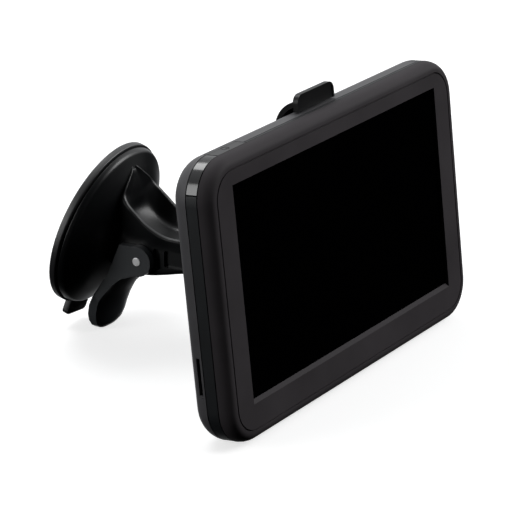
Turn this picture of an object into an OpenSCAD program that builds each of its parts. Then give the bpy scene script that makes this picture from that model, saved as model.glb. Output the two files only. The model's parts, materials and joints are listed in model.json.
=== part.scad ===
// Portable car navigator on a suction mount, standing on a level surface.
// Millimetres. X runs across the screen, Y from the screen to the mount, Z up.

/* [Navigator body] */
// Width of the navigator
body_w = 136.4; // [134:0.2:140]
// Height of the navigator
body_h = 84.7; // [84:0.1:88]
// Depth of the navigator
body_d = 15; // [15:0.5:18]
// Corner radius of the outline
corner_r = 12; // [11.5:0.25:14]
// Angle that the navigator leans back
lean = 6.43; // [4:0.01:9]
// How far the front shell's sides bulge past the front face
bulge = 2.8; // [2:0.1:3.2]
// Radius between the sides and the back
back_r = 7; // [6:0.25:7]
// Wall thickness of the shells
wall = 1.8; // [1.5:0.1:2]
// Depth of the seam between the front shell and the side band
front_seam = 4.3; // [4:0.1:4.5]
// Depth of the seam between the side band and the rear cover
rear_seam = 8.2; // [8:0.1:8.5]
// Depth of that seam along the top
top_seam = 5.4; // [5.2:0.1:5.8]
// Width of a seam
seam_gap = 0.3; // [0.2:0.05:0.4]

/* [Screen] */
// Width of the screen opening
window_w = 112.8; // [110:0.2:113]
// Height of the screen opening
window_h = 65.2; // [62:0.2:65.4]
// How far the opening sits above the middle
window_y = 1.54; // [1:0.01:2]
// How far the screen lies below the bezel
screen_recess = 1; // [0.8:0.1:1.2]
// Width of the bevel along the bottom of the opening
bottom_bevel = 1.3; // [0.8:0.1:1.5]
// Distance from the outline to the groove round the bezel
groove_inset = 3.6; // [3.4:0.05:3.8]
// Width of the groove
groove_w = 0.45; // [0.3:0.05:0.6]

/* [Power key] */
// Length of the key along the top
key_l = 14.2; // [10:0.2:15]
// Middle of the key, from the middle of the body
key_x = -48.6; // [-49:0.1:-46]
// Travel of the key
key_travel = 0.6; // [0.4:0.1:0.7]

/* [Cradle and ball joint] */
// Diameter of the ball
ball_d = 17; // [16:0.5:17]
// Distance from the screen face's middle to the ball along Y
ball_y = 31; // [30:0.5:32]
// Height of the ball's centre
ball_z = 31; // [30:0.5:32]
// Width of the cradle plate
cradle_w = 44; // [40:1:50]
// Width of the latch's thumb tab
tab_w = 20; // [16:1:24]

/* [Suction mount] */
// Angle that the mount turns about the ball, seen from above
mount_turn = 4; // [0:0.5:6]
// Distance along the mount to the middle of the cup's rim
cup_v = 89.4; // [88:0.1:91]
// Height of the middle of the cup's rim
cup_z = 34.3; // [34:0.1:35]
// Angle that the cup's axis points up towards the glass
cup_tilt = 17.2; // [15:0.1:19]
// Radius of the rubber rim
cup_r = 27.5; // [27:0.1:28.5]
// Height of the cover's dome
dome_h = 8.2; // [7:0.1:9]
// Distance from the rim to the lever's pin along the cup's axis
pin_s = 21.6; // [21:0.1:22]
// Radius of the lever's pin
pin_r = 1.4; // [1.2:0.1:1.5]
// Half of the width over the lever's cheeks
cheek_out = 12; // [11.8:0.1:12.4]
// How far the stud moves towards the glass as the lever opens
stud_travel = 2.5; // [2:0.1:2.8]

/* [Hidden] */

$fn = 48;
e = 0.01;
arc_steps = 8;

half_w = body_w / 2;
half_h = body_h / 2;
// pull tab: half of its flat end, its thickness and where it ends
tab_low = 3.2;
tab_t = 2.4;
tab_end = (cup_z - 1 - tab_t * sin(cup_tilt)) / cos(cup_tilt);
body_z = (half_h - back_r) * cos(lean) + (body_d - back_r) * sin(lean) + back_r;
front_low = half_h - bulge;
y_front = -front_low * sin(lean);
y_back = (cup_v - ball_y + tab_end * sin(cup_tilt)) * cos(mount_turn) + ball_y + tab_low * sin(mount_turn);
origin_y = (y_front + y_back) / 2;
ball_r = ball_d / 2;
inner_d = body_d - wall;
hollow_in = wall + bulge - 0.5;
skirt_out = wall + 0.1;
skirt_in = skirt_out + 1.5;
key_depth = 9.2;
trim_y = 33.9;
run_x = half_w - corner_r;
trim_x = -run_x;
run_y = 36;
screw_at = [[-60, 24], [60, 24], [-48, -36], [48, -36]];
card_y = -20.2;
card_depth = 10.25;
port_y = -18;
port_depth = 10.55;
speaker_at = [38, -6];
toe_depth = 14;
toe_y = -37.5;
latch_root = 31;
latch_in = 8.3;
latch_out = 9.9;
switch_top = 35.2;
// ball centre in the navigator's drawing frame
ball_up = ball_y * sin(lean) + (ball_z - body_z) * cos(lean);
ball_depth = ball_y * cos(lean) - (ball_z - body_z) * sin(lean);
cup_out = ball_r + 3.3;
cradle_front = body_d + 0.4;
cradle_back = cradle_front + 2.6;
neck_r = 4.2;
neck_end = ball_y + 7.4;
cover_r = cup_r - 0.6;
cover_s = -2.8;
center_r = 9;
// lever pin in the mount frame
pin_v = cup_v - pin_s * cos(cup_tilt);
pin_z = cup_z - pin_s * sin(cup_tilt);
arm_stations = [44, 50, 56, 61, 63.5, 66, 68.5, 70, 71.3, 73, 75, 76, 77.4, 82];
paddle_axis = 101;
// half of the paddle's front outline, as half width and height
paddle_half = [[4.4, 0], [6.2, 0.6], [7.6, 1.6], [8.8, 3.5], [9.6, 6], [10.4, 10], [11, 14], [11.4, 19.7]];

// ---- frames ----

module device_frame() {
    translate([0, -origin_y, body_z]) rotate([90 - lean, 0, 0]) children();
}

module mount_frame() {
    translate([0, ball_y - origin_y, 0]) rotate([0, 0, mount_turn]) translate([0, -ball_y, 0]) children();
}

module cup_frame() {
    mount_frame() translate([0, cup_v, cup_z]) rotate([cup_tilt - 90, 0, 0]) children();
}

// ---- shared shapes ----

// Points on an ellipse arc, from angle a0 to a1
function arc(c, rx, ry, a0, a1, n = arc_steps) =
    [for (i = [0:n]) let (a = a0 + (a1 - a0) * i / n) [c[0] + rx * cos(a), c[1] + ry * sin(a)]];

// Smooth step from 0 to 1
function ease(t) = t * t * (3 - 2 * t);

// Rounded plate between two depths below the screen face
module plate(w, h, r, d0, d1) {
    cx = w / 2 - r;
    cy = h / 2 - r;
    translate([0, 0, -d1]) {
        translate([-cx, -h / 2, 0]) cube([2 * cx, h, d1 - d0]);
        translate([-w / 2, -cy, 0]) cube([w, 2 * cy, d1 - d0]);
        for (sx = [-1, 1], sy = [-1, 1])
            translate([sx * cx, sy * cy, 0]) cylinder(r = r, h = d1 - d0);
    }
}

// Box given by its X and Y ranges and two depths
module block(x0, x1, y0, y1, d0, d1) {
    translate([x0, y0, -d1]) cube([x1 - x0, y1 - y0, d1 - d0]);
}

// Solid whose outline is a rounded rectangle that grows by outset at each depth
module profiled(w, h, r, profile) {
    cx = w / 2 - r;
    cy = h / 2 - r;
    last = len(profile) - 1;
    corner = concat([[0, -profile[0][1]]], [for (p = profile) [r + p[0], -p[1]]], [[0, -profile[last][1]]]);
    for (i = [0:3])
        translate([(i == 0 || i == 3 ? 1 : -1) * cx, (i < 2 ? 1 : -1) * cy, 0])
            rotate([0, 0, 90 * i]) rotate_extrude(angle = 90, $fn = 96) polygon(corner);
    rotate([90, 0, 90]) translate([0, 0, -cx]) linear_extrude(2 * cx)
        polygon(two_sided(h / 2, profile));
    rotate([90, 0, 0]) translate([0, 0, -cy]) linear_extrude(2 * cy)
        polygon(two_sided(w / 2, profile));
}

function two_sided(half, profile) = concat(
    [for (p = profile) [half + p[0], -p[1]]],
    [for (i = [len(profile) - 1:-1:0]) [-half - profile[i][0], -profile[i][1]]]);

// Outside of the body between two depths
function side_curve(d1) = [for (i = [0:6]) let (d = d1 * pow(i / 6, 2))
    [-bulge * (1 - sqrt(1 - pow(1 - d / (front_seam + 0.3), 2))), d]];

function back_curve(d0) = let (start = d0 - (body_d - back_r)) concat(
    start < 0 ? [[0, d0]] : [],
    arc([-back_r, body_d - back_r], back_r, back_r, asin(max(0, start) / back_r), 90));

module outer_back(d0) {
    profiled(body_w, body_h, corner_r, back_curve(d0));
}

// Solid through rings of equal length, closed at both ends
module loft(rings) {
    n = len(rings[0]);
    m = len(rings);
    points = [for (ring = rings) for (p = ring) p];
    sides = [for (i = [0:m - 2], j = [0:n - 1]) let (k = (j + 1) % n)
        each [[i * n + j, (i + 1) * n + j, i * n + k], [i * n + k, (i + 1) * n + j, (i + 1) * n + k]]];
    ends = [[for (j = [0:n - 1]) j], [for (j = [n - 1:-1:0]) (m - 1) * n + j]];
    polyhedron(points, concat(sides, ends));
}

// Zone of the side band and the corner trim
module band_zone() {
    profiled(body_w, body_h, corner_r, [[-0.05, front_seam + seam_gap / 2], [-0.05, rear_seam - 0.1]]);
}

module band_ring() {
    difference() {
        band_zone();
        plate(body_w - 2 * wall, body_h - 2 * wall, corner_r - wall, 0, body_d);
    }
}

// Corner region that the trim takes, grown by gap
module trim_zone(gap) {
    block(-half_w - 1, trim_x + gap, trim_y - gap, half_h + 1, 0, body_d);
}

module key_zone(gap) {
    block(key_x - key_l / 2 - gap, key_x + key_l / 2 + gap, half_h - 4, half_h + 1,
        front_seam - 0.1, key_depth + gap);
}

// ---- navigator shells ----

module front_bezel() {
    low = window_y - window_h / 2;
    high = window_y + window_h / 2;
    color("#323033") device_frame() {
        difference() {
            profiled(body_w, body_h, corner_r, side_curve(front_seam - seam_gap / 2));
            // screen opening with a steep edge, and a wide bevel along its bottom
            block(-window_w / 2 + 0.2, window_w / 2 - 0.2, low + bottom_bevel, high - 0.2, -1, 3);
            translate([-window_w / 2, 0, 0]) rotate([90, 0, 90]) linear_extrude(window_w) polygon([
                [high + e, 1], [high, 0], [high - 0.25, -screen_recess - 0.2],
                [low + bottom_bevel, -screen_recess - 0.2], [low, 0], [low - e, 1]]);
            // seat of the touch panel and the hollow behind it
            block(-57.6, 57.6, window_y - 34.5, window_y + 34.4, screen_recess, 5);
            plate(body_w - 2 * hollow_in, body_h - 2 * hollow_in, corner_r - wall - 2, 2, 5);
            // fine groove round the flat face
            difference() {
                groove_plate(groove_inset, -1, 0.4);
                groove_plate(groove_inset + groove_w, -2, 1);
            }
        }
        for (p = screw_at)
            difference() {
                translate([p[0], p[1], -10.2]) cylinder(r = 2.1, h = 8.4);
                translate([p[0], p[1], -11]) cylinder(r = 1, h = 7);
            }
    }
}

module groove_plate(inset, d0, d1) {
    plate(body_w - 2 * inset, body_h - 2 * inset + 0.2, corner_r - inset, d0, d1);
}

module side_band() {
    color("#1e1e20") device_frame() difference() {
        band_ring();
        trim_zone(seam_gap);
        // along the top only a narrow strip is left
        block(-run_x, run_x, run_y, half_h + 1, top_seam - 0.1, body_d);
        key_zone(0.25);
    }
}

module corner_trim() {
    color("#050505") device_frame() intersection() {
        band_ring();
        trim_zone(0);
    }
}

module rear_cover() {
    color("#2b2b2d") device_frame() {
        difference() {
            union() {
                outer_back(rear_seam + 0.1);
                block(-run_x + 0.2, run_x - 0.2, run_y + 0.2, half_h - 0.01, top_seam + 0.1, rear_seam + 0.5);
                // skirt that backs the side band
                plate(body_w - 2 * skirt_out, body_h - 2 * skirt_out, corner_r - skirt_out,
                    front_seam, rear_seam + 0.2);
            }
            profiled(body_w, body_h, corner_r, back_inside());
            key_zone(0.25);
            card_opening();
            port_opening();
            screw_seats();
            grille_slots();
            toe_slot();
        }
        for (p = screw_at)
            difference() {
                translate([p[0], p[1], -inner_d - 0.2]) cylinder(r = 2.8, h = inner_d + 0.2 - 10.35);
                translate([p[0], p[1], -body_d]) cylinder(r = 1.2, h = body_d);
            }
    }
}

function back_inside() = concat([[-skirt_in, front_seam - 1], [-skirt_in, rear_seam + 1]],
    [for (p = arc([-back_r, body_d - back_r], back_r - wall, back_r - wall, 20, 90))
        [min(p[0], -skirt_in + 1), p[1]]]);

module card_opening() {
    // shallow finger recess in the side, with the card slot in it
    block(-half_w - 1, -half_w + 0.9, card_y - 6.2, card_y + 6.2, 9, 12.4);
    block(-half_w - 1, -half_w + 8, card_y - 5.6, card_y + 5.6, card_depth - 0.6, card_depth + 0.6);
}

module port_opening() {
    block(half_w - 8, half_w + 1, port_y - 4.1, port_y + 4.1, port_depth - 2.15, port_depth + 2.15);
}

module screw_seats() {
    for (p = screw_at) {
        translate([p[0], p[1], -body_d - 1]) cylinder(r = 2.1, h = 2.6);
        translate([p[0], p[1], -body_d - 1]) cylinder(r = 1.2, h = 6);
    }
}

module grille_slots() {
    for (i = [-3:3])
        let (reach = sqrt(100 - pow(i * 2.6, 2)))
            block(speaker_at[0] - reach, speaker_at[0] + reach,
                speaker_at[1] + i * 2.6 - 0.6, speaker_at[1] + i * 2.6 + 0.6, inner_d - 1, body_d + 1);
}

// Slot for the cradle's toe, opened downwards so that the body can tip forwards
module toe_slot() {
    translate([-8.6, toe_y, -toe_depth]) rotate([0, 90, 0]) cylinder(r = 1.5, h = 17.2);
    translate([-8.6, toe_y, -toe_depth]) rotate([90, 0, 90]) linear_extrude(17.2)
        polygon([[0, 0], [1.5, 0], [2.2, -4], [-7, -4], [-1.4, 0.6]]);
}

// ---- inside the navigator ----

module touch_panel() {
    color("#030303") device_frame() translate([0, window_y, 0])
        plate(114.6, 68.4, 1.5, screen_recess, screen_recess + 1.1);
}

module panel_gasket() {
    color("#202020") device_frame() translate([0, window_y, 0]) difference() {
        plate(113.6, 67, 1, 2.1, 2.6);
        plate(109, 62.5, 0.8, 2, 3);
    }
}

module lcd_panel() {
    color("#0c0f14") device_frame() translate([0, window_y, 0]) plate(113, 66, 1, 2.6, 3.8);
}

module backlight_tray() {
    color("#b9bcbf") device_frame() translate([0, window_y, 0]) plate(114.4, 67.4, 1, 3.8, 5.6);
}

module main_board() {
    color("#14532d") device_frame() difference() {
        plate(114, 62, 1.5, 6.6, 7.6);
        for (sx = [-1, 1]) translate([sx * 52, 27, -8]) cylinder(r = 1.2, h = 2);
    }
}

module board_chips() {
    color("#161616") device_frame() {
        block(-14, 0, 12, 26, 7.6, 9);
        block(3, 12, 14, 26, 7.6, 8.8);
        block(-46, -38, -14, -6, 7.6, 8.6);
        for (i = [0:5]) block(-36 + i * 3.2, -34.4 + i * 3.2, -24, -23, 7.6, 8.3);
    }
}

module rf_shield() {
    color("#c3c6c8") device_frame() difference() {
        block(-37, -19, 6, 26, 7.6, 9.8);
        block(-36.7, -19.3, 6.3, 25.7, 7.5, 9.5);
    }
}

module gps_antenna() {
    color("#cfc6b4") device_frame() translate([26, 21, 0]) {
        plate(18, 18, 0.8, 7.6, 11.6);
        translate([1.5, 0, -11.8]) cylinder(r = 0.8, h = 0.3);
    }
}

module battery() {
    color("#9aa0a6") device_frame() translate([-8, -13, 0]) plate(50, 34, 2, 8.7, 12.8);
}

module speaker() {
    color("#26282a") device_frame() translate([speaker_at[0], speaker_at[1], 0]) {
        translate([0, 0, -12.7]) cylinder(r = 12, h = 2.2);
        translate([0, 0, -10.6]) cylinder(r = 8, h = 2.6);
    }
}

module speaker_gasket() {
    color("#181818") device_frame() translate([speaker_at[0], speaker_at[1], -13.1]) difference() {
        cylinder(r = 12, h = 0.4);
        translate([0, 0, -1]) cylinder(r = 10.8, h = 2);
    }
}

module usb_socket() {
    color("#c9ccce") device_frame() difference() {
        union() {
            block(55, 65, port_y - 3.85, port_y + 3.85, port_depth - 1.95, port_depth + 1.95);
            block(52, 56.6, port_y - 3.85, port_y + 3.85, 7.6, port_depth + 1.95);
        }
        difference() {
            block(57, 66, port_y - 3.45, port_y + 3.45, port_depth - 1.55, port_depth + 1.55);
            block(56, 64, port_y - 2.4, port_y + 2.4, port_depth - 0.45, port_depth + 0.45);
        }
    }
}

module card_socket() {
    color("#c9ccce") device_frame() difference() {
        union() {
            block(-64.6, -50.6, card_y - 6.6, card_y + 6.6, card_depth - 1.1, card_depth + 1.1);
            block(-56.8, -50.6, card_y - 6.6, card_y + 6.6, 7.6, card_depth + 1.1);
        }
        block(-70, -51.4, card_y - 5.6, card_y + 5.6, card_depth - 0.6, card_depth + 0.6);
    }
}

module display_flex() {
    color("#b8741a") device_frame() {
        block(-7, 7, -32.85, -26, 5.7, 5.9);
        block(-7, 7, -32.85, -32.6, 5.7, 7.85);
        block(-7, 7, -32.85, -30.5, 7.6, 7.85);
    }
}

module case_screws() {
    color("#2c2d2f") device_frame() for (p = screw_at) translate([p[0], p[1], 0]) difference() {
        union() {
            translate([0, 0, -13.4 - e]) cylinder(r = 1, h = 6.5);
            translate([0, 0, -14.7]) cylinder(r = 1.9, h = 1.3);
        }
        translate([0, 0, -14.9]) cylinder(r = 0.8, h = 1, $fn = 6);
    }
}

module key_switch() {
    color("#d0d0d0") device_frame() {
        block(key_x - 3, key_x + 3, 28, 34, 7.6, 10);
        block(key_x - 1.5, key_x + 1.5, 33.9, switch_top, 8.2, 9.4);
    }
}

module power_key() {
    color("#2b2b2d") device_frame() {
        difference() {
            intersection() {
                union() {
                    band_zone();
                    outer_back(rear_seam - 0.2);
                }
                block(key_x - key_l / 2, key_x + key_l / 2, half_h - 1.6, half_h + 1, 0, key_depth);
            }
            // raised ring with a bar, the usual sign for power
            power_sign_cut();
        }
        // stem, with a flange that is held behind the shell's skirt
        block(key_x - 5.5, key_x + 5.5, 38.2, half_h - 1.5, 5.6, 8.6);
        block(key_x - key_l / 2 - 1, key_x + key_l / 2 + 1, 37.4, 38.3, 5.2, 8.8);
        block(key_x - 2, key_x + 2, switch_top + key_travel + 0.3, 37.5, 7.8, 8.7);
    }
}

module power_sign_cut() {
    translate([key_x, half_h + 1, -6.9]) rotate([90, 0, 0]) {
        difference() {
            cylinder(r = 1.35, h = 1.2);
            translate([0, 0, -1]) cylinder(r = 1.0, h = 4);
            translate([-0.5, 0.3, -1]) cube([1, 2, 4]);
        }
        translate([-0.17, 0.2, 0]) cube([0.34, 1.3, 1.2]);
    }
}

// ---- cradle, latch and ball joint ----

module cradle_plate() {
    color("#1b1b1d") device_frame() {
        difference() {
            union() {
                plate(cradle_w, 72, 6, cradle_front, cradle_back);
                translate([0, ball_up, -ball_depth]) intersection() {
                    sphere(r = cup_out, $fn = 64);
                    translate([0, 0, -3.2]) cylinder(r = cup_out + 1, h = cup_out + 5);
                }
                translate([0, ball_up, 7 - ball_depth])
                    cylinder(r = 8.6, h = ball_depth - 6.5 - cradle_back);
                for (x = [-7, 7])
                    block(x - 1, x + 1, ball_up - 20, ball_up + 20, cradle_back - 0.5, cradle_back + 2.4);
            }
            translate([0, ball_up, -ball_depth]) sphere(r = ball_r + 1.8, $fn = 64);
            // clearance for the latch blade
            block(-7.4, 7.4, latch_root - 0.3, 40, cradle_front - 1, cradle_back + 6);
        }
        // foot with a round toe that sits in the navigator's slot
        block(-8, 8, toe_y - 0.8, toe_y + 0.7, toe_depth, cradle_front + 0.1);
        block(-8, 8, toe_y - 0.8, -35, cradle_front, cradle_back);
        translate([-8, toe_y, -toe_depth]) rotate([0, 90, 0]) cylinder(r = 1, h = 16);
    }
}

module latch_tab() {
    high = half_h + 0.35;
    color("#101012") device_frame() {
        // thumb tab
        difference() {
            union() {
                block(-tab_w / 2, tab_w / 2, high, 45, 6.8, 8.6);
                block(-tab_w / 2 + 2.6, tab_w / 2 - 2.6, high, 47.8, 6.8, 8.6);
                for (sx = [-1, 1])
                    translate([sx * (tab_w / 2 - 2.6), 45.2, -8.6]) cylinder(r = 2.6, h = 1.8);
            }
            block(-tab_w / 2 + 0.9, tab_w / 2 - 0.9, high - 1, 46.6, 6, 7);
        }
        // strip over the navigator's shoulder
        intersection() {
            translate([-7, half_h - back_r, -(body_d - back_r)]) rotate([0, 90, 0]) difference() {
                cylinder(r = latch_out, h = 14, $fn = 96);
                translate([0, 0, -1]) cylinder(r = latch_in, h = 16, $fn = 96);
            }
            block(-7, 7, half_h - back_r, 60, 8.2, 40);
        }
        // spring blade down to its root in the cradle plate
        block(-7, 7, latch_root, half_h - back_r + e,
            body_d - back_r + latch_in, body_d - back_r + latch_out);
    }
}

module socket_liner() {
    color("#3a3a3c") device_frame() translate([0, ball_up, -ball_depth]) difference() {
        sphere(r = ball_r + 1.7, $fn = 64);
        sphere(r = ball_r + 0.1, $fn = 64);
        translate([0, 0, -20 - 3.2]) cylinder(r = 20, h = 20);
        for (a = [0, 90]) rotate([0, 0, a]) translate([-0.5, -20, -5]) cube([1, 40, 5]);
    }
}

module mount_ball() {
    color("#141416") mount_frame() translate([0, ball_y, ball_z]) rotate([-90, 0, 0]) difference() {
        sphere(r = ball_r, $fn = 64);
        translate([0, 0, -1]) cylinder(r = 3.05, h = 20);
        translate([0, 0, 7.1]) cylinder(r = 20, h = 20);
    }
}

// ---- suction mount ----

// Height of the arm's ridges, of the trough between them and of its underside
function ridge_z(v) = lookup(v, [[44, 35.7], [56, 36.2], [61, 36.9], [66, 39.2], [70, 42.5], [73, 44.9],
    [75, 47.2], [76, 50.5], [77.4, 54.6], [82, 54.8]]);
function trough_z(v) = lookup(v, [[44, 35.3], [50, 34.6], [56, 33.7], [61, 33.4], [66, 33.8], [71.3, 36.6],
    [75, 40.4], [76, 46], [77.4, 54.2], [82, 54.4]]);
function under_z(v) = lookup(v, [[44, 27], [54.2, 25.3], [60, 23.8], [66.9, 22.6], [74, 22.4],
    [79, 23.5], [83, 25.5]]);
// Half of the arm's width at the ridges and below them
function ridge_x(v) = lookup(v, [[44, 6.5], [50, 8.1], [56, 9.3], [61, 10], [66, 10.3], [73, 10.2],
    [75, 9.2], [76, 5], [77.4, 1.4], [82, 1.2]]);
function arm_x(v) = lookup(v, [[44, 6.5], [50, 8], [56, 9.2], [84, 9.2]]);

// Outline of the arm's section at v: two ridges with a trough between them
function arm_ring(v) = let (
    top = ridge_z(v), low = under_z(v), wt = ridge_x(v), wa = arm_x(v), f = trough_z(v), k = wt / 8) [
    [-wa + 1, v, low], [-wa, v, low + 1.2], [-wa, v, 33.5], [-wt, v, top - 0.8], [-wt + 0.8 * k, v, top],
    [-wt + 2 * k, v, top - 0.1], [-wt + 3 * k, v, min(f + 1.2, top - 0.2)], [0, v, min(f, top - 0.3)],
    [wt - 3 * k, v, min(f + 1.2, top - 0.2)], [wt - 2 * k, v, top - 0.1], [wt - 0.8 * k, v, top],
    [wt, v, top - 0.8], [wa, v, 33.5], [wa, v, low + 1.2], [wa - 1, v, low]];

// Height of the dome above the rim at a radius, and its profile up to a radius
function dome_s(r) = cover_s - 1.4 - dome_h * pow(1 - pow(r / (cover_r - 0.8), 2), 0.9);

function dome_profile(reach, drop, k) = [for (i = [0:12]) let (r = reach * i / 12) [r * k, dome_s(r) + drop]];

module suction_base() {
    color("#17181a") difference() {
        union() {
            mount_frame() loft([for (v = arm_stations) arm_ring(v)]);
            mount_frame() translate([0, neck_end, ball_z]) rotate([-90, 0, 0]) cylinder(r = neck_r, h = 8);
            mount_frame() translate([0, ball_y, ball_z]) rotate([-90, 0, 0]) cylinder(r = 3, h = 12);
            // dome on a flat flange
            cup_frame() rotate_extrude($fn = 120) polygon(concat(dome_profile(cover_r - 4, 0, 1),
                [[cover_r - 3.4, cover_s - 2.3], [cover_r - 0.8, cover_s - 1.4], [cover_r, cover_s - 0.9],
                [cover_r, cover_s], [0, cover_s]]));
            // tower that guides the stud
            cup_frame() translate([0, 0, -dome_h - 6]) cylinder(r = 6, h = dome_h);
        }
        // hollow under the dome
        cup_frame() difference() {
            rotate_extrude($fn = 120) polygon(concat(dome_profile(cover_r - 0.8, 1.8, 0.93),
                [[(cover_r - 0.8) * 0.93, 10], [0, 10]]));
            translate([0, 0, -30]) cylinder(r = 5, h = 22.8);
        }
        cup_frame() translate([0, 0, -pin_s - stud_travel - 4.4]) cylinder(r = 3.3, h = 40);
        cup_frame() translate([-20, 0, -pin_s]) rotate([0, 90, 0]) cylinder(r = pin_r + 0.05, h = 40);
        // pockets in the arm's sides
        for (sx = [-1, 1]) mount_frame() {
            translate([sx * 8.2 - 1.2, 52.5, 26.6]) cube([2.4, 8, 5.6]);
            translate([sx * 8.2 - 1.2, 62, 26]) cube([2.4, 1.8, 6.4]);
        }
    }
}

module suction_cup() {
    color("#0d0e10") cup_frame() {
        rotate_extrude($fn = 120) polygon([[center_r + 0.3, -5.4], [center_r + 1.6, -5.4],
            [center_r + 2.2, -3.6], [18, -3.3], [cup_r - 2.5, -2.4], [cup_r - 0.3, -2.2],
            [cup_r, -1.9], [cup_r, -0.3], [cup_r - 0.3, 0], [cup_r - 3.4, 0], [cup_r - 5, -0.5],
            [18, -1.6], [center_r + 0.3, -2.2]]);
        // pull tab
        translate([-tab_low - 1.8, cup_r - 1.2, -tab_t])
            cube([2 * tab_low + 3.6, tab_end - cup_r - 0.6, tab_t]);
        translate([-tab_low, cup_r - 1.2, -tab_t]) cube([2 * tab_low, tab_end - cup_r + 1.2, tab_t]);
        for (sx = [-1, 1])
            translate([sx * tab_low, tab_end - 1.8, -tab_t]) cylinder(r = 1.8, h = tab_t);
    }
}

module cup_center() {
    color("#0d0e10") cup_frame() translate([0, 0, -6.2]) difference() {
        cylinder(r = center_r, h = 3.4);
        translate([0, 0, -1]) cylinder(r = 6.2, h = 2.4);
    }
}

module cup_stud() {
    slot_end = -pin_s - stud_travel - 0.1;
    color("#8d9094") cup_frame() difference() {
        union() {
            translate([0, 0, slot_end - 3.3]) cylinder(r = 3, h = -slot_end - 2.9);
            translate([0, 0, -6.2]) cylinder(r = 6.1, h = 1.4);
        }
        // slot that lets the stud slide along the pin
        for (z = [slot_end, -pin_s])
            translate([-5, 0, z]) rotate([0, 90, 0]) cylinder(r = pin_r + 0.1, h = 10);
        translate([-5, -pin_r - 0.1, slot_end]) cube([10, 2 * pin_r + 0.2, -pin_s - slot_end]);
    }
}

// The paddle is a barrel shaped shell about an upright axis behind it
module paddle() {
    intersection() {
        translate([0, paddle_axis, 0]) rotate([0, 0, 180]) rotate_extrude(angle = 180, $fn = 120)
            polygon([[14.1, 0], [14.4, 1.2], [15, 3.5], [15.6, 6], [16.7, 9.3], [18.3, 12.5], [20.5, 16],
                [22.8, 19.7], [25.4, 19.7], [23.1, 16], [20.8, 12.5], [19.2, 9.3], [18, 6], [17.3, 3.5],
                [16.3, 1.2], [15.2, 0]]);
        translate([0, paddle_axis, 0]) rotate([90, 0, 0]) linear_extrude(30)
            polygon(concat(paddle_half,
                [for (i = [len(paddle_half) - 1:-1:0]) [-paddle_half[i][0], paddle_half[i][1]]]));
    }
}

module suction_lever() {
    color("#1a1c1e") difference() {
        mount_frame() union() {
            paddle();
            for (sx = [-1, 1]) translate([sx * (cheek_out - 1.25) - 1.25, 0, 0])
                rotate([90, 0, 90]) linear_extrude(2.5) cheek_outline();
        }
        cup_frame() translate([-20, 0, -pin_s]) rotate([0, 90, 0]) cylinder(r = pin_r, h = 40);
    }
}

// Side view of a cheek: round about the pin, with an arm down to the paddle
module cheek_outline() {
    translate([pin_v, pin_z]) circle(r = 4.9);
    polygon([[pin_v + 1, pin_z + 4.6], [75, 32.5], [76.6, 28.7], [78.7, 23.9], [80.4, 20], [82.6, 16.6],
        [84.6, 13.4], [83.2, 11.8], [80.6, 15.2], [78.4, 18.2], [75, 20.9], [71.5, 22.3],
        [pin_v - 0.5, pin_z - 4.4]]);
}

module lever_pin() {
    color("#d5d7d9") cup_frame() translate([-cheek_out - 0.25, 0, -pin_s]) rotate([0, 90, 0])
        cylinder(r = pin_r, h = 2 * cheek_out + 0.5);
}

front_bezel();
side_band();
corner_trim();
rear_cover();
touch_panel();
panel_gasket();
lcd_panel();
backlight_tray();
main_board();
board_chips();
rf_shield();
gps_antenna();
battery();
speaker();
speaker_gasket();
usb_socket();
card_socket();
display_flex();
case_screws();
key_switch();
power_key();
cradle_plate();
latch_tab();
socket_liner();
mount_ball();
suction_base();
suction_cup();
cup_stud();
cup_center();
suction_lever();
lever_pin();
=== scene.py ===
import json
import math

import bmesh
import bpy
from mathutils import Matrix, Vector


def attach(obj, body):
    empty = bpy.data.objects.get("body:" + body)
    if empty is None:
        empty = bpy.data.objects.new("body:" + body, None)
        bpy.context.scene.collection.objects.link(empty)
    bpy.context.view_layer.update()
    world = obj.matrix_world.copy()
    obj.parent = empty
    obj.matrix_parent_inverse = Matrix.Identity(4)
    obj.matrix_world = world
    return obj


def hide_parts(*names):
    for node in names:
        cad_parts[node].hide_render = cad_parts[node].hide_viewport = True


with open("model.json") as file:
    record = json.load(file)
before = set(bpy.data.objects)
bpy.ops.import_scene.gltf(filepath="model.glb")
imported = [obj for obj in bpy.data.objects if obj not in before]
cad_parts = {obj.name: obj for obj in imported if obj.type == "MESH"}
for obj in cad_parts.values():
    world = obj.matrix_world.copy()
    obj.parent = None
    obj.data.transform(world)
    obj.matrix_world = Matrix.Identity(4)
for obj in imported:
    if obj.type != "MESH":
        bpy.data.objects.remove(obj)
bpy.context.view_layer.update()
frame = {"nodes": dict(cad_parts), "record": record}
MM = 0.001

BODY_OF = {n: b for b, nodes in frame["record"]["behaviour"]["bodies"].items() for n in nodes}
SLOT_OF = {s["node"]: s["material_slot"] for s in frame["record"]["subparts"]}

# ---------------------------------------------------------------- materials


def new_material(name):
    mat = bpy.data.materials.new(name)
    mat.use_nodes = True
    tree = mat.node_tree
    tree.nodes.clear()
    out = tree.nodes.new("ShaderNodeOutputMaterial")
    bsdf = tree.nodes.new("ShaderNodeBsdfPrincipled")
    tree.links.new(bsdf.outputs["BSDF"], out.inputs["Surface"])
    coord = tree.nodes.new("ShaderNodeTexCoord")
    return mat, tree, bsdf, coord


def noise(tree, coord, scale, detail=3.0, rough=0.55, stretch=None):
    source = coord.outputs["Object"]
    if stretch:
        mapping = tree.nodes.new("ShaderNodeMapping")
        mapping.inputs["Scale"].default_value = stretch
        tree.links.new(source, mapping.inputs["Vector"])
        source = mapping.outputs["Vector"]
    node = tree.nodes.new("ShaderNodeTexNoise")
    node.inputs["Scale"].default_value = scale
    node.inputs["Detail"].default_value = detail
    node.inputs["Roughness"].default_value = rough
    tree.links.new(source, node.inputs["Vector"])
    return node.outputs["Fac"]


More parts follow.
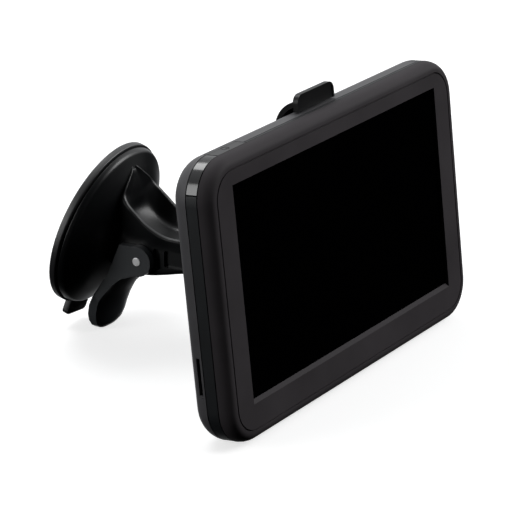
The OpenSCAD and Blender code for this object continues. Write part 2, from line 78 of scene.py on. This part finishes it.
def spread(tree, fac, low, high):
    node = tree.nodes.new("ShaderNodeMapRange")
    node.inputs["From Min"].default_value = 0.3
    node.inputs["From Max"].default_value = 0.7
    node.inputs["To Min"].default_value = low
    node.inputs["To Max"].default_value = high
    tree.links.new(fac, node.inputs["Value"])
    return node.outputs["Result"]


def two_tone(tree, fac, dark, light):
    ramp = tree.nodes.new("ShaderNodeValToRGB")
    ramp.color_ramp.elements[0].position = 0.3
    ramp.color_ramp.elements[0].color = (*dark, 1)
    ramp.color_ramp.elements[1].position = 0.7
    ramp.color_ramp.elements[1].color = (*light, 1)
    tree.links.new(fac, ramp.inputs["Fac"])
    return ramp.outputs["Color"]


def bump(tree, bsdf, height, strength, depth):
    node = tree.nodes.new("ShaderNodeBump")
    node.inputs["Strength"].default_value = strength
    node.inputs["Distance"].default_value = depth
    tree.links.new(height, node.inputs["Height"])
    tree.links.new(node.outputs["Normal"], bsdf.inputs["Normal"])


def surface(name, colour, rough, spec=0.5, metal=0.0, vary=0.12, mottle=55, grain=2600, depth=0.00004,
            strength=0.35, rough_by=0.05, stretch=None, coat=0.0):
    """A moulded or metal surface: slow colour drift, patchy roughness and a fine grain."""
    mat, tree, bsdf, coord = new_material(name)
    slow = noise(tree, coord, mottle, 4.0)
    fine = noise(tree, coord, grain, 2.0, 0.6, stretch)
    dark = tuple(c * (1 - vary) for c in colour)
    light = tuple(c * (1 + vary) for c in colour)
    tree.links.new(two_tone(tree, slow, dark, light), bsdf.inputs["Base Color"])
    tree.links.new(spread(tree, slow, rough - rough_by, rough + rough_by), bsdf.inputs["Roughness"])
    bsdf.inputs["Metallic"].default_value = metal
    bsdf.inputs["Specular IOR Level"].default_value = spec
    bsdf.inputs["Coat Weight"].default_value = coat
    bsdf.inputs["Coat Roughness"].default_value = 0.1
    bump(tree, bsdf, fine, strength, depth)
    return mat


MATS = {
    "bezel_plastic": surface("bezel_plastic", (0.045, 0.0405, 0.044), 0.62, spec=0.1, grain=3400),
    "band_plastic": surface("band_plastic", (0.011, 0.0125, 0.014), 0.5, spec=0.25, grain=3400),
    "gloss_trim": surface("gloss_trim", (0.0022, 0.0022, 0.0026), 0.14, spec=0.6, rough_by=0.02,
                          strength=0.02, grain=300),
    "shell_plastic": surface("shell_plastic", (0.058, 0.057, 0.061), 0.5, spec=0.4, grain=3400),
    "key_plastic": surface("key_plastic", (0.030, 0.030, 0.031), 0.45, spec=0.3),
    "screen_glass": surface("screen_glass", (0.0003, 0.0003, 0.0004), 0.16, spec=0.02, strength=0.01,
                            grain=200, rough_by=0.02),
    "display_panel": surface("display_panel", (0.01, 0.012, 0.016), 0.2, spec=0.5, strength=0.02),
    "foam": surface("foam", (0.02, 0.02, 0.02), 0.9, spec=0.1, grain=1800, depth=0.0002, strength=0.7),
    "sheet_steel": surface("sheet_steel", (0.55, 0.56, 0.57), 0.36, metal=1.0, vary=0.05, grain=900,
                           stretch=(1, 14, 1), strength=0.2),
    "circuit_board": surface("circuit_board", (0.01, 0.11, 0.04), 0.4, spec=0.5, coat=0.3),
    "chip_resin": surface("chip_resin", (0.015, 0.015, 0.015), 0.6),
    "antenna_ceramic": surface("antenna_ceramic", (0.62, 0.58, 0.49), 0.5, vary=0.06),
    "battery_pouch": surface("battery_pouch", (0.42, 0.44, 0.46), 0.38, metal=0.8, vary=0.06, grain=500,
                             depth=0.0002),
    "speaker_parts": surface("speaker_parts", (0.02, 0.02, 0.022), 0.6, grain=1500),
    "flex_film": surface("flex_film", (0.48, 0.2, 0.03), 0.35, vary=0.08),
    "screw_steel": surface("screw_steel", (0.03, 0.03, 0.032), 0.38, metal=0.9, grain=2000),
    "cradle_plastic": surface("cradle_plastic", (0.0025, 0.0025, 0.003), 0.4, spec=0.22),
    "liner_nylon": surface("liner_nylon", (0.05, 0.05, 0.052), 0.5),
    "ball_plastic": surface("ball_plastic", (0.009, 0.009, 0.010), 0.4, spec=0.4),
    "mount_plastic": surface("mount_plastic", (0.0020, 0.0025, 0.0031), 0.36, spec=0.5, grain=3000,
                             strength=0.15, rough_by=0.04),
    "cup_rubber": surface("cup_rubber", (0.010, 0.0102, 0.0115), 0.45, spec=0.9, strength=0.3),
    "stud_metal": surface("stud_metal", (0.4, 0.41, 0.42), 0.34, metal=1.0, vary=0.04, stretch=(1, 1, 20),
                          grain=700),
    "lever_plastic": surface("lever_plastic", (0.048, 0.052, 0.056), 0.34, spec=0.8, grain=3000),
    "pin_steel": surface("pin_steel", (0.95, 0.95, 0.96), 0.4, metal=0.4, vary=0.03, grain=1500),
}

for node, obj in frame["nodes"].items():
    obj.data.materials.clear()
    obj.data.materials.append(MATS[SLOT_OF[node]])

# ---------------------------------------------------------------- refined copies of CAD nodes


def adopt(obj, node):
    """obj stands for a CAD node: same body, same slot, same finish."""
    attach(obj, BODY_OF[node])
    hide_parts(node)
    obj.data.materials.clear()
    obj.data.materials.append(MATS[SLOT_OF[node]])


def round_edges(obj, width, segments=3, angle=32):
    mod = obj.modifiers.new("edges", "BEVEL")
    mod.width = width * MM
    mod.segments = segments
    mod.limit_method = "ANGLE"
    mod.angle_limit = math.radians(angle)
    mod.harden_normals = True
    mod.miter_outer = "MITER_ARC"


def refined(node, width, dissolve=0.6):
    """A copy of a CAD node with its sharp edges rounded off, as a moulded piece's are."""
    mesh = frame["nodes"][node].data.copy()
    mesh.name = "fine_" + node
    if "custom_normal" in mesh.attributes:
        mesh.attributes.remove(mesh.attributes["custom_normal"])
    bm = bmesh.new()
    bm.from_mesh(mesh)
    bmesh.ops.remove_doubles(bm, verts=bm.verts, dist=2e-6)
    if dissolve:
        bmesh.ops.dissolve_limit(bm, angle_limit=math.radians(dissolve), verts=bm.verts, edges=bm.edges)
    bm.to_mesh(mesh)
    bm.free()
    mesh.shade_smooth()
    obj = bpy.data.objects.new("fine_" + node, mesh)
    bpy.context.scene.collection.objects.link(obj)
    round_edges(obj, width)
    adopt(obj, node)


for node, width in (
    ("front_bezel", 0.22), ("side_band", 0.1), ("corner_trim", 0.1), ("power_key", 0.12),
    ("cradle_plate", 0.35), ("latch_tab", 0.3), ("usb_socket", 0.08), ("case_screws", 0.08),
):
    refined(node, width)
# The grille slots make faces with holes, which don't dissolve cleanly
refined("rear_cover", 0.15, dissolve=0)

# ---------------------------------------------------------------- places on the mount

# In the mount's own millimetres: x to the side, v back towards the glass, z up
BALL_AT = (0, 31, 31)
CUP_AT = (0, 89.4, 34.3)

joints = {j["name"]: j for j in frame["record"]["behaviour"]["joints"]}
BALL = Vector(joints["ball_roll"]["pos_m"])
FORWARD = Vector(joints["ball_roll"]["axis"]).normalized()
UP = Vector((0, 0, 1))
SIDE = FORWARD.cross(UP)
GLASS = Vector(joints["stud_slide"]["axis"]).normalized()
DOWN = GLASS.cross(SIDE)
if DOWN.z > 0:
    DOWN = -DOWN


def axes_at(place, x_axis, y_axis, z_axis):
    """Millimetre axes along three directions, at a place in metres."""
    turn = Matrix((x_axis, y_axis, z_axis)).transposed().to_4x4()
    return Matrix.Translation(place) @ turn @ Matrix.Diagonal((MM, MM, MM, 1))


MOUNT = axes_at(BALL, SIDE, FORWARD, UP) @ Matrix.Translation(-Vector(BALL_AT))
CUP = axes_at(MOUNT @ Vector(CUP_AT), SIDE, DOWN, GLASS)


def filleted(corners, steps=5):
    """Closed line through corners (coordinates, then a reach), each turned into an arc-like curve."""
    out = []
    n = len(corners)
    for i, corner in enumerate(corners):
        p = Vector(corner[:-1])
        a = Vector(corners[i - 1][:-1]) - p
        b = Vector(corners[(i + 1) % n][:-1]) - p
        reach = min(corner[-1], a.length * 0.48, b.length * 0.48)
        start, end = p + a.normalized() * reach, p + b.normalized() * reach
        for k in range(steps + 1):
            u = k / steps
            out.append(start * (1 - u) ** 2 + p * (2 * u * (1 - u)) + end * u**2)
    return out


def make_object(name, bm):
    bmesh.ops.remove_doubles(bm, verts=bm.verts, dist=1e-7)
    bmesh.ops.recalc_face_normals(bm, faces=bm.faces)
    mesh = bpy.data.meshes.new(name)
    bm.to_mesh(mesh)
    bm.free()
    mesh.shade_smooth()
    obj = bpy.data.objects.new(name, mesh)
    bpy.context.scene.collection.objects.link(obj)
    return obj


def add_loft(bm, rings, matrix):
    rows = [[bm.verts.new(matrix @ Vector(p)) for p in ring] for ring in rings]
    n = len(rows[0])
    for low, high in zip(rows, rows[1:]):
        for j in range(n):
            bm.faces.new((low[j], low[(j + 1) % n], high[(j + 1) % n], high[j]))
    bm.faces.new(rows[0])
    bm.faces.new(rows[-1])


def add_lathe(bm, profile, matrix, steps=128):
    """Turns (radius, height) points about the local Z axis; points on the axis close it."""
    rows = []
    for r, s in profile:
        if r < 1e-6:
            rows.append([bm.verts.new(matrix @ Vector((0, 0, s)))])
        else:
            rows.append([bm.verts.new(matrix @ Vector((r * math.cos(t), r * math.sin(t), s)))
                         for t in (2 * math.pi * k / steps for k in range(steps))])
    for a, b in zip(rows, rows[1:] + ([] if len(rows[0]) == 1 else rows[:1])):
        for k in range(steps):
            m = (k + 1) % steps
            if len(a) == 1:
                bm.faces.new((a[0], b[k], b[m]))
            elif len(b) == 1:
                bm.faces.new((a[k], a[m], b[0]))
            else:
                bm.faces.new((a[k], a[m], b[m], b[k]))


def sharp_edges(obj, degrees):
    obj.data.set_sharp_from_angle(angle=math.radians(degrees))


# ---------------------------------------------------------------- arm and dome of the suction mount

COVER_R, COVER_S = 26.9, -2.8
FLANGE_H, DOME_H = 1.4, 8.2
DOME_R = COVER_R - 0.8
DOME_WALL = 1.9
SHOULDER_R = 23.4


def dome_s(r):
    """Height of the dome's outside at a radius, along the cup's axis."""
    return COVER_S - FLANGE_H - DOME_H * (1 - (r / DOME_R) ** 2) ** 0.9


# The arm's section at each station, as right-hand corners (x, v, z, fillet): under the arm, its side,
# the outside and inside of the ridge, the foot of the trough and its middle.
ARM = [
    [(6.5, 44, 27, 1.4), (6.5, 44, 33, 1.4), (6.5, 44, 35.7, 0.9),
     (5.0, 44, 35.7, 0.7), (4.0, 44, 35.4, 1), (0, 44, 35.3, 0)],
    [(8.0, 50, 25.9, 1.4), (8.0, 50, 33, 1.4), (8.1, 50, 35.9, 0.9),
     (6.4, 50, 35.9, 0.7), (5.0, 50, 34.8, 1.3), (0, 50, 34.6, 0)],
    [(9.1, 56, 24.9, 1.4), (9.1, 56, 33, 1.5), (9.3, 56, 36.2, 1),
     (7.3, 56, 36.2, 0.8), (6.0, 56, 33.9, 1.6), (0, 56, 33.7, 0)],
    [(9.2, 61, 23.7, 1.4), (9.2, 61, 33, 1.5), (10.0, 61, 36.9, 1),
     (8.0, 61, 36.9, 0.8), (6.2, 61, 33.6, 1.7), (0, 61, 33.4, 0)],
    [(9.2, 66, 22.7, 1.4), (9.2, 66, 33, 1.5), (10.3, 66, 39.3, 1),
     (8.5, 66, 39.3, 0.8), (6.0, 66.2, 34.0, 1.8), (0, 66.2, 33.8, 0)],
    [(9.2, 71, 22.4, 1.4), (9.2, 71, 34, 1.5), (10.3, 70, 42.5, 1),
     (8.7, 70, 42.6, 0.7), (5.7, 71.2, 36.9, 1.8), (0, 71.4, 36.6, 0)],
    [(9.2, 76, 22.6, 1.4), (9.2, 76, 37, 1.5), (10.2, 72.9, 44.9, 0.9),
     (8.8, 72.8, 45.1, 0.6), (5.0, 74.5, 40.9, 1.6), (0, 75, 40.4, 0)],
    [(9.2, 80, 24, 1.4), (9.2, 80, 41, 1.5), (9.3, 74.9, 47.0, 0.8),
     (8.1, 74.7, 47.4, 0.5), (4.0, 75.4, 45.0, 1.4), (0, 75.3, 44.6, 0)],
    [(9.2, 82, 27, 1.4), (8.4, 81, 45, 1.4), (7.2, 75.3, 49.4, 0.7),
     (6.2, 75.1, 49.7, 0.4), (3.0, 75.6, 48.2, 1.1), (0, 75.5, 47.9, 0)],
    [(8.4, 82, 31, 1.4), (6.4, 81, 48.5, 1.2), (4.6, 75.6, 51.6, 0.6),
     (3.7, 75.4, 51.8, 0.3), (1.8, 75.9, 51, 0.7), (0, 75.8, 50.8, 0)],
    [(7.0, 82, 35, 1.4), (3.8, 81, 52, 1), (2.0, 76.1, 53.9, 0.4),
     (1.3, 75.9, 54.0, 0.2), (0.7, 76.3, 53.4, 0.3), (0, 76.2, 53.3, 0)],
    [(5.5, 82, 38, 1.4), (2.2, 81, 54, 0.8), (1.0, 77.3, 54.9, 0.2),
     (0.6, 77.2, 54.9, 0.1), (0.3, 77.4, 54.7, 0.1), (0, 77.4, 54.7, 0)],
]


def between(rows, t):
    """Catmull-Rom through the stations: the corner tuples at station number t."""
    i = min(int(t), len(rows) - 2)
    u = t - i
    around = [rows[max(i - 1, 0)], rows[i], rows[i + 1], rows[min(i + 2, len(rows) - 1)]]

    def blend(a, b, c, d):
        bend = (2 * a - 5 * b + 4 * c - d) * u**2 + (3 * b - a - 3 * c + d) * u**3
        return 0.5 * (2 * b + (c - a) * u + bend)

    return [tuple(blend(*four) for four in zip(*corner)) for corner in zip(*around)]


def arm_ring(t):
    half = between(ARM, t)
    mirrored = [(-x, v, z, fillet) for x, v, z, fillet in reversed(half[:-1])]
    return filleted(half + mirrored, 6)


RINGS = 8  # between two stations
# Recesses in each side of the arm (from and to v, from and to z), cut from POCKET_X outwards
POCKETS = ((52.6, 60.4, 26.8, 32.2), (61.9, 64.4, 25.6, 32.2))
POCKET_X, POCKET_END = 8.1, 12

bm = bmesh.new()
add_loft(bm, [arm_ring(k / RINGS) for k in range(RINGS * (len(ARM) - 1) + 1)], MOUNT)
arm = make_object("mount_arm", bm)

bm = bmesh.new()
for side in (-1, 1):
    for v0, v1, z0, z1 in POCKETS:
        ring = filleted([(v0, z0, 0.7), (v1, z0, 0.7), (v1, z1, 0.7), (v0, z1, 0.7)], 4)
        add_loft(bm, [[(side * x, p.x, p.y) for p in ring] for x in (POCKET_X, POCKET_END)], MOUNT)
pockets = make_object("pockets", bm)
cut = arm.modifiers.new("pockets", "BOOLEAN")
cut.object = pockets
cut.operation = "DIFFERENCE"
cut.solver = "EXACT"
round_edges(arm, 0.18, 2, 40)
with bpy.context.temp_override(object=arm, active_object=arm):
    bpy.ops.object.modifier_apply(modifier="pockets")
bpy.data.objects.remove(pockets)
adopt(arm, "suction_base")


def dome_outline():
    """Dome with a rounded shoulder, as (radius, height) points round the section."""
    points = [(SHOULDER_R * i / 28, dome_s(SHOULDER_R * i / 28)) for i in range(29)]
    shoulder = filleted([(SHOULDER_R, dome_s(SHOULDER_R), 0), (COVER_R - 0.5, COVER_S - 1.7, 1.8),
                         (COVER_R, COVER_S, 0.35), (COVER_R - 1, COVER_S, 0)], 8)
    points += [tuple(p) for p in shoulder[9:-9]]
    inner = [(COVER_R - 2.6, COVER_S)]
    inner += [(0.92 * DOME_R * i / 24, dome_s(DOME_R * i / 24) + DOME_WALL) for i in range(22, 0, -1)]
    return points + inner + [(0, dome_s(0) + DOME_WALL)]


bm = bmesh.new()
add_lathe(bm, dome_outline(), CUP)
dome = make_object("cup_cover", bm)
sharp_edges(dome, 50)
adopt(dome, "suction_base")

bm = bmesh.new()
neck = axes_at(MOUNT @ Vector(BALL_AT), SIDE, -UP, FORWARD)
add_lathe(bm, [(0, 0.2), (2.9, 0.2), (3, 0.4), (3, 7.4), (3.9, 7.4), (4.2, 7.7), (4.2, 12.2), (4.6, 13.0),
               (5.4, 13.4), (5.6, 13.8), (0, 13.9)], neck, 64)
neck_obj = make_object("mount_neck", bm)
sharp_edges(neck_obj, 40)
adopt(neck_obj, "suction_base")

# ---------------------------------------------------------------- rubber cup

CUP_R, HOLE_R = 27.5, 9.3
TAB_HALF, TAB_FROM, TAB_TO, TAB_TURN = 5.8, 25.6, 32, 8

bm = bmesh.new()
rim = filleted([(HOLE_R, -5.4, 0.2), (10.6, -5.4, 0.3), (11.2, -3.6, 0.4), (18, -3.3, 1), (25, -2.4, 0.8),
                (CUP_R, -2.25, 0.5), (CUP_R, 0, 0.45), (24.1, 0, 0.3), (22.5, -0.5, 0.8), (18, -1.6, 2),
                (HOLE_R, -2.2, 0.3)], 5)
add_lathe(bm, [tuple(p) for p in rim], CUP, 144)
cup = make_object("rubber_cup", bm)
sharp_edges(cup, 60)
adopt(cup, "suction_cup")

bm = bmesh.new()
outline = filleted([(-TAB_HALF, TAB_FROM, 0), (TAB_HALF, TAB_FROM, 0), (TAB_HALF, TAB_TO, 1.6),
                    (-TAB_HALF, TAB_TO, 1.6)], 6)


def tab_ring(shrink, s):
    """The tab's outline at height s, drawn in a little where its edge is rounded."""
    narrow, short = 1 - shrink * 0.07, 1 - shrink * 0.035
    return [(p.x * narrow, TAB_FROM + (p.y - TAB_FROM) * short, s) for p in outline]


tab_rings = [tab_ring(*row) for row in ((1, -2.4), (0.3, -2.25), (0, -2.0), (0, -0.4), (0.3, -0.12), (1, 0))]
add_loft(bm, tab_rings, CUP @ Matrix.Rotation(math.radians(TAB_TURN), 4, "Z"))
tab = make_object("pull_tab", bm)
sharp_edges(tab, 45)
adopt(tab, "suction_cup")

for node, width in (("suction_lever", 0.45), ("lever_pin", 0.2), ("mount_ball", 0.2), ("cup_center", 0.3)):
    refined(node, width)

# ---------------------------------------------------------------- floor, light and camera

floor_mesh = bpy.data.meshes.new("floor")
bm = bmesh.new()
bmesh.ops.create_grid(bm, x_segments=8, y_segments=8, size=6.0)
bm.to_mesh(floor_mesh)
bm.free()
floor = bpy.data.objects.new("floor", floor_mesh)
floor.location.z = -0.02 * MM
bpy.context.scene.collection.objects.link(floor)
floor_mat = surface("floor_paper", (0.55, 0.55, 0.55), 0.8, spec=0.0, vary=0.004, grain=800, strength=0.02)
paper_bsdf = next(n for n in floor_mat.node_tree.nodes if n.type == "BSDF_PRINCIPLED")
paper_bsdf.inputs["Emission Color"].default_value = (1, 1, 1, 1)
paper_bsdf.inputs["Emission Strength"].default_value = 0.68
floor_mesh.materials.append(floor_mat)
floor.visible_glossy = False
floor.visible_diffuse = False

world = bpy.data.worlds.new("studio")
bpy.context.scene.world = world
world.use_nodes = True
tree = world.node_tree
tree.nodes.clear()
out = tree.nodes.new("ShaderNodeOutputWorld")
mix = tree.nodes.new("ShaderNodeMixShader")
path = tree.nodes.new("ShaderNodeLightPath")
seen = tree.nodes.new("ShaderNodeBackground")
seen.inputs["Color"].default_value = (1, 1, 1, 1)
fill = tree.nodes.new("ShaderNodeBackground")
direction = tree.nodes.new("ShaderNodeTexCoord")
split = tree.nodes.new("ShaderNodeSeparateXYZ")
tree.links.new(direction.outputs["Generated"], split.inputs["Vector"])


def ramp(source, a, b, low, high):
    node = tree.nodes.new("ShaderNodeMapRange")
    node.interpolation_type = "SMOOTHSTEP"
    for key, value in (("From Min", a), ("From Max", b), ("To Min", low), ("To Max", high)):
        node.inputs[key].default_value = value
    tree.links.new(source, node.inputs["Value"])
    return node.outputs["Result"]


def combine(kind, a, b):
    node = tree.nodes.new("ShaderNodeMath")
    node.operation = kind
    tree.links.new(a, node.inputs[0])
    tree.links.new(b, node.inputs[1])
    return node.outputs["Value"]


# a pale room behind and to the right, fading to darkness in front on the left and below
behind = combine("ADD", split.outputs["X"], split.outputs["Y"])
sky = ramp(behind, -0.9, 0.8, 0.0, 0.85)
paper = combine("MULTIPLY", ramp(split.outputs["X"], 0.1, 0.7, 0.0, 0.8),
                ramp(split.outputs["Y"], 0.1, 0.45, 0.0, 1.0))
above = ramp(split.outputs["Z"], -0.06, 0.1, 0.0, 1.0)
below = ramp(split.outputs["Z"], -0.06, 0.1, 1.0, 0.0)
level = combine("ADD", combine("MULTIPLY", sky, above), combine("MULTIPLY", paper, below))
tree.links.new(level, fill.inputs["Strength"])
fill.inputs["Color"].default_value = (0.97, 0.985, 1.0, 1)
tree.links.new(path.outputs["Is Camera Ray"], mix.inputs["Fac"])
tree.links.new(fill.outputs["Background"], mix.inputs[1])
tree.links.new(seen.outputs["Background"], mix.inputs[2])
tree.links.new(mix.outputs["Shader"], out.inputs["Surface"])


def softbox(name, place, target, size, watts):
    light = bpy.data.lights.new(name, "AREA")
    light.shape = "RECTANGLE"
    light.size, light.size_y = size
    light.energy = watts
    obj = bpy.data.objects.new(name, light)
    obj.location = place
    obj.rotation_euler = (Vector(target) - Vector(place)).to_track_quat("-Z", "Y").to_euler()
    bpy.context.scene.collection.objects.link(obj)


softbox("top", (0.22, 0.63, 1.03), (-0.07, 0, 0.07), (0.6, 0.45), 4.8)
softbox("front_right", (0.9, -1.0, 0.9), (0, 0, 0.04), (0.9, 0.9), 16)
softbox("left", (-1.0, 0.62, 0.36), (-0.06, 0, 0.06), (0.5, 0.85), 6)

EYE = (-0.6393, -0.43536, 0.3170)
LOOK = (0.7828, 0.5158, -0.3481)
camera = bpy.data.cameras.new("camera")
camera.lens = 187.9
camera.sensor_width = 36
camera_obj = bpy.data.objects.new("camera", camera)
camera_obj.location = EYE
camera_obj.rotation_euler = Vector(LOOK).to_track_quat("-Z", "Y").to_euler()
bpy.context.scene.collection.objects.link(camera_obj)
bpy.context.scene.camera = camera_obj
bpy.context.scene.view_settings.view_transform = "Standard"
